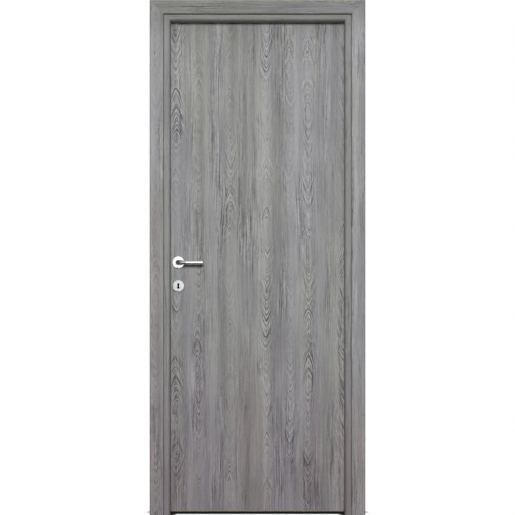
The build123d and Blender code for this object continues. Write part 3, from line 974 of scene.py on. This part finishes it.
@dataclass
class DoorFrame:
    """Jambs, casings, seals and the strike plate, which stand still."""

    dresser: CadDresser
    sides: tuple[Side, ...] = (
        Side("hinge", TO_HINGES, shift=0.42, shade=1.12, painted_falloff_from=0.95),
        Side("lock", TO_LOCK, shift=0.71, shade=1.08, painted_falloff_from=1.9),
    )
    faces: tuple[Face, ...] = (
        Face("front", REARWARD, shift=0.31, slide=0.83),
        Face("rear", FORWARD, shift=0.64, slide=1.57),
    )
    jamb_slide: float = 0.37
    jamb_depth_of_tone: float = 0.7
    jamb_shade: float = 0.96
    strike_screws: tuple[Direction, ...] = ((-0.803, 0.034, 0.917), (-0.803, 0.034, 1.127))
    screw_radius: float = 0.004
    screw_height: float = 0.0006

    def build(self) -> None:
        """Dresses the frame's nodes and adds the screws of its strike plate."""
        for side in self.sides:
            self._dress_side(side)
        self._dress_head()
        self.dresser.dress(("hinge_seal", "lock_seal", "head_seal"), Rubber().build())
        zinc = Metal("strike_screw_zinc", srgb(176, 178, 180), 0.34).build()
        screws = ScrewHeads(
            "strike_screw", TO_HINGES, self.screw_radius, self.screw_height, "frame", "lock_steel"
        )
        screws.build(self.strike_screws, zinc)

    def _dress_side(self, side: Side) -> None:
        """Dresses the jamb, the stop and both casings of one side.

        Args:
            side: The side.
        """
        jamb = Laminate(
            f"{side.name}_jamb_laminate",
            GrainRun.UPRIGHT,
            side.shift,
            self.jamb_slide,
            bare_sides=(DOWNWARD, side.outwards),
            depth_of_tone=self.jamb_depth_of_tone,
            shade=self.jamb_shade,
        )
        self.dresser.dress((f"{side.name}_jamb", f"{side.name}_stop"), jamb.build())
        for face in self.faces:
            casing = Laminate(
                f"{face.name}_{side.name}_casing_laminate",
                GrainRun.UPRIGHT,
                side.shift + face.shift,
                face.slide,
                bare_sides=(DOWNWARD, face.wall),
                shade=side.shade,
                painted_falloff_from=side.painted_falloff_from,
                painted_edge_shade_side=side.outwards,
            )
            self.dresser.dress((f"{face.name}_{side.name}_casing",), casing.build())

    def _dress_head(self) -> None:
        """Dresses the jamb, the stop and both casings of the head."""
        jamb = Laminate(
            "head_jamb_laminate",
            GrainRun.LEVEL,
            shift=0.21,
            slide=2.9,
            bare_sides=(UPWARD,),
            depth_of_tone=self.jamb_depth_of_tone,
            shade=1.05,
        )
        self.dresser.dress(("head_jamb", "head_stop"), jamb.build())
        for face in self.faces:
            casing = Laminate(
                f"{face.name}_head_casing_laminate",
                GrainRun.LEVEL,
                shift=0.77,
                slide=4.3,
                bare_sides=(face.wall,),
                depth_of_tone=1.1,
                shade=0.95,
                painted_edge_shade_side=UPWARD,
            )
            self.dresser.dress((f"{face.name}_head_casing",), casing.build())


@dataclass
class DoorLeaf:
    """The leaf: skins, rails, stiles and lock, which swing together."""

    dresser: CadDresser
    print_start: float = 0.7675
    raw_foot: float = 0.0118
    faceplate_screws: tuple[Direction, ...] = ((-0.7965, 0.034, 0.913), (-0.7965, 0.034, 1.131))
    screw_radius: float = 0.004
    screw_height: float = 0.0006

    def build(self) -> None:
        """Dresses the leaf's nodes and adds the screws of the lock's faceplate."""
        face = Laminate(
            "leaf_laminate",
            GrainRun.UPRIGHT,
            shift=self.print_start,
            slide=0.0,
            bare_sides=(DOWNWARD, UPWARD),
            raw_foot=self.raw_foot,
        )
        self.dresser.dress(("front_skin", "rear_skin", "hinge_stile", "lock_stile"), face.build())
        self.dresser.dress(("top_rail", "bottom_rail", "lock_block"), Board().build())
        zinc = Metal("faceplate_screw_zinc", srgb(176, 178, 180), 0.34).build()
        screws = ScrewHeads(
            "faceplate_screw", TO_LOCK, self.screw_radius, self.screw_height, "leaf", "lock_steel"
        )
        screws.build(self.faceplate_screws, zinc)


@dataclass
class Furniture:
    """Handles, roses, hinges and the metal of the lock."""

    dresser: CadDresser
    grub_screws: tuple[Direction, ...] = ((-0.755, 0.004, 1.0638), (-0.755, 0.076, 1.0638))
    grub_radius: float = 0.0022
    grub_height: float = 0.0005

    def build(self) -> None:
        """Dresses the metal nodes and adds the grub screws under the levers' necks."""
        satin = Metal("satin_nickel", srgb(247, 247, 246), 0.24)
        self.dresser.dress(("front_rose", "rear_rose"), satin.build())
        plate = Metal("satin_nickel_plate", srgb(222, 225, 231), 0.30)
        self.dresser.dress(("front_key_rose", "rear_key_rose"), plate.build())
        polished = Metal("polished_nickel", srgb(246, 247, 243), 0.14, smudge=0.04)
        self.dresser.dress(("front_lever", "rear_lever"), polished.build())
        steel = Metal("zinc_steel", srgb(150, 152, 155), 0.38, smudge=0.12)
        plates = ("lock_faceplate", "latch_bolt", "dead_bolt", "strike_plate", "spindle")
        self.dresser.dress(plates, steel.build())
        # The lock case is near black: partly its own dark steel and partly painted shade, so that
        # the keyholes read dark.
        self.dresser.dress(("lock_case",), Metal("oiled_steel", srgb(22, 22, 24), 0.7).build())
        self._dress_hinges()
        blackened = Metal("blackened_steel", srgb(60, 60, 62), 0.45).build()
        screws = ScrewHeads(
            "grub_screw", DOWNWARD, self.grub_radius, self.grub_height, "handle", "satin_metal"
        )
        screws.build(self.grub_screws, blackened)

    def _dress_hinges(self) -> None:
        """Dresses the upper and lower halves of the three hinges."""
        halves = tuple(
            f"{place}_hinge_{half}_half"
            for place in ("bottom", "middle", "top")
            for half in ("frame", "leaf")
        )
        self.dresser.dress(halves, Metal("hinge_nickel", srgb(206, 206, 204), 0.3).build())


@dataclass
class Studio:
    """Camera, lamps, floor and surroundings.

    The rear lamp shows the side that the camera doesn't see. The surroundings are bright in front
    and behind, half as bright overhead, and dim and greenish elsewhere, which only metal shows.
    """

    camera_place: Direction = (-0.416, -6.349, 1.096)
    focal_length: float = 103.9
    sensor_width: float = 36.0
    lamp_place: Direction = (-0.416, -5.6, 2.8)
    lamp_target: Direction = (-0.416, 0.0, 1.1)
    lamp_width: float = 1.5
    lamp_height: float = 1.2
    lamp_power: float = 288.0
    rear_lamp_share: float = 0.9
    fill: float = 0.12
    floor_size: float = 9.0
    floor_fade: tuple[float, float] = (1.2, 2.6)
    floor_paint: Colour = (0.03, 0.027, 0.025, 1.0)
    # Reach, samples and sharpness of the painted contact shadow on the floor.
    painted_shadow_reach: float = 0.03
    painted_shadow_samples: int = 16
    painted_shadow_sharpness: float = 9.0
    floor_glow: float = 0.05
    mirrored_floor_glow: float = 0.2
    ahead_band: tuple[float, float] = (0.86, 0.97)
    horizon_band: tuple[float, float] = (-0.28, -0.02)
    overhead_band: tuple[float, float] = (0.55, 1.0)
    overhead_share: float = 0.35
    bright: float = 1.18
    dim: float = 0.28
    tint_band: tuple[float, float] = (0.28, 0.65)
    dim_tint: Colour = (0.68, 1.0, 0.58, 1.0)

    def build(self) -> None:
        """Sets up the whole studio."""
        self._camera()
        self._lamp("front_lamp", 1.0, self.lamp_power)
        self._lamp("rear_lamp", -1.0, self.lamp_power * self.rear_lamp_share)
        self._floor()
        self._surroundings()
        bpy.context.scene.view_settings.view_transform = "Standard"

    def _camera(self) -> None:
        """Sets the camera level in front of the door, where the photograph was taken from."""
        data = bpy.data.cameras.new("camera")
        data.sensor_width = self.sensor_width
        data.lens = self.focal_length
        data.clip_end = 50
        camera = bpy.data.objects.new("camera", data)
        camera.location = self.camera_place
        camera.rotation_euler = (math.radians(90), 0, 0)
        bpy.context.scene.collection.objects.link(camera)
        bpy.context.scene.camera = camera

    def _lamp(self, name: str, side: float, power: float) -> None:
        """Hangs a soft lamp higher than the door.

        Args:
            name: The lamp's name.
            side: 1 for a lamp in front of the door and -1 for one behind it.
            power: The lamp's power in watts.
        """
        data = bpy.data.lights.new(name, "AREA")
        data.shape = "RECTANGLE"
        data.size = self.lamp_width
        data.size_y = self.lamp_height
        data.energy = power
        lamp = bpy.data.objects.new(name, data)
        lamp.location = Vector(self.lamp_place) * Vector((1.0, side, 1.0))
        look = Vector(self.lamp_target) - lamp.location
        lamp.rotation_euler = look.to_track_quat("-Z", "Y").to_euler()
        lamp.visible_camera = False
        lamp.visible_glossy = False
        bpy.context.scene.collection.objects.link(lamp)

    def _floor(self) -> None:
        """Lays a pale floor that turns into the white surroundings a few steps away."""
        mesh = bpy.data.meshes.new("floor")
        shape = bmesh.new()
        bmesh.ops.create_grid(shape, x_segments=1, y_segments=1, size=self.floor_size)
        shape.to_mesh(mesh)
        shape.free()
        floor = bpy.data.objects.new("floor", mesh)
        bpy.context.scene.collection.objects.link(floor)

        material = bpy.data.materials.new("studio_floor")
        nodes = Nodes(material)
        x, y, _ = nodes.place().parts()
        away = ((x - self.camera_place[0]) ** 2 + y**2) ** 0.5
        seen = nodes.add("LightPath", {}, {}, "Is Camera Ray")
        mirrored = seen.output("Is Glossy Ray")
        paint = nodes.add("BsdfDiffuse", {}, {"Color": self.floor_paint})
        # Painted shadow: the floor's glow to the camera is dimmed by ambient occlusion, which
        # darkens it under and beside the door.
        samples = {"samples": self.painted_shadow_samples}
        open_sky = nodes.add("AmbientOcclusion", samples, {"Distance": self.painted_shadow_reach}, "AO")
        lift = nodes.add("Emission", {}, {"Strength": seen * open_sky**self.painted_shadow_sharpness})
        level = seen * (1 - self.floor_glow) + self.floor_glow
        level = level + mirrored * self.mirrored_floor_glow
        glow = nodes.add("Emission", {}, {"Strength": level})
        near = nodes.add("AddShader", {}, {0: paint, 1: lift})
        fade = away.rise(*self.floor_fade)
        shader = nodes.add("MixShader", {}, {0: fade, 1: near, 2: glow})
        nodes.add("OutputMaterial", {}, {"Surface": shader})
        mesh.materials.append(material)

    def _surroundings(self) -> None:
        """Makes the surroundings, which are plain white to the camera."""
        world = bpy.data.worlds.new("studio")
        bpy.context.scene.world = world
        nodes = Nodes(world)
        _, ahead, up = nodes.place("Generated").parts()
        front = abs(ahead).rise(*self.ahead_band) * up.rise(*self.horizon_band)
        above = up.rise(*self.overhead_band)
        level = front.most(above * self.overhead_share) * self.bright + self.dim
        tint = nodes.mix(level.rise(*self.tint_band), self.dim_tint, WHITE)
        seen = nodes.add("LightPath", {}, {}, "Is Camera Ray")
        matt = seen.output("Is Diffuse Ray")
        level = level * (1 - matt * (1 - self.fill))
        level = level + (1 - level) * seen
        tint = nodes.mix(seen.most(matt), tint, WHITE)
        sky = nodes.add("Background", {}, {"Color": tint, "Strength": level})
        nodes.add("OutputWorld", {}, {"Surface": sky})


def main() -> None:
    """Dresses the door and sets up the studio."""
    logging.basicConfig(level=logging.INFO, format="%(message)s")
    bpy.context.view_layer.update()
    dresser = CadDresser()
    for part in (DoorFrame(dresser), DoorLeaf(dresser), Furniture(dresser), Studio()):
        part.build()
        LOG.info("built %s", type(part).__name__)


if __name__ == "__main__":
    main()
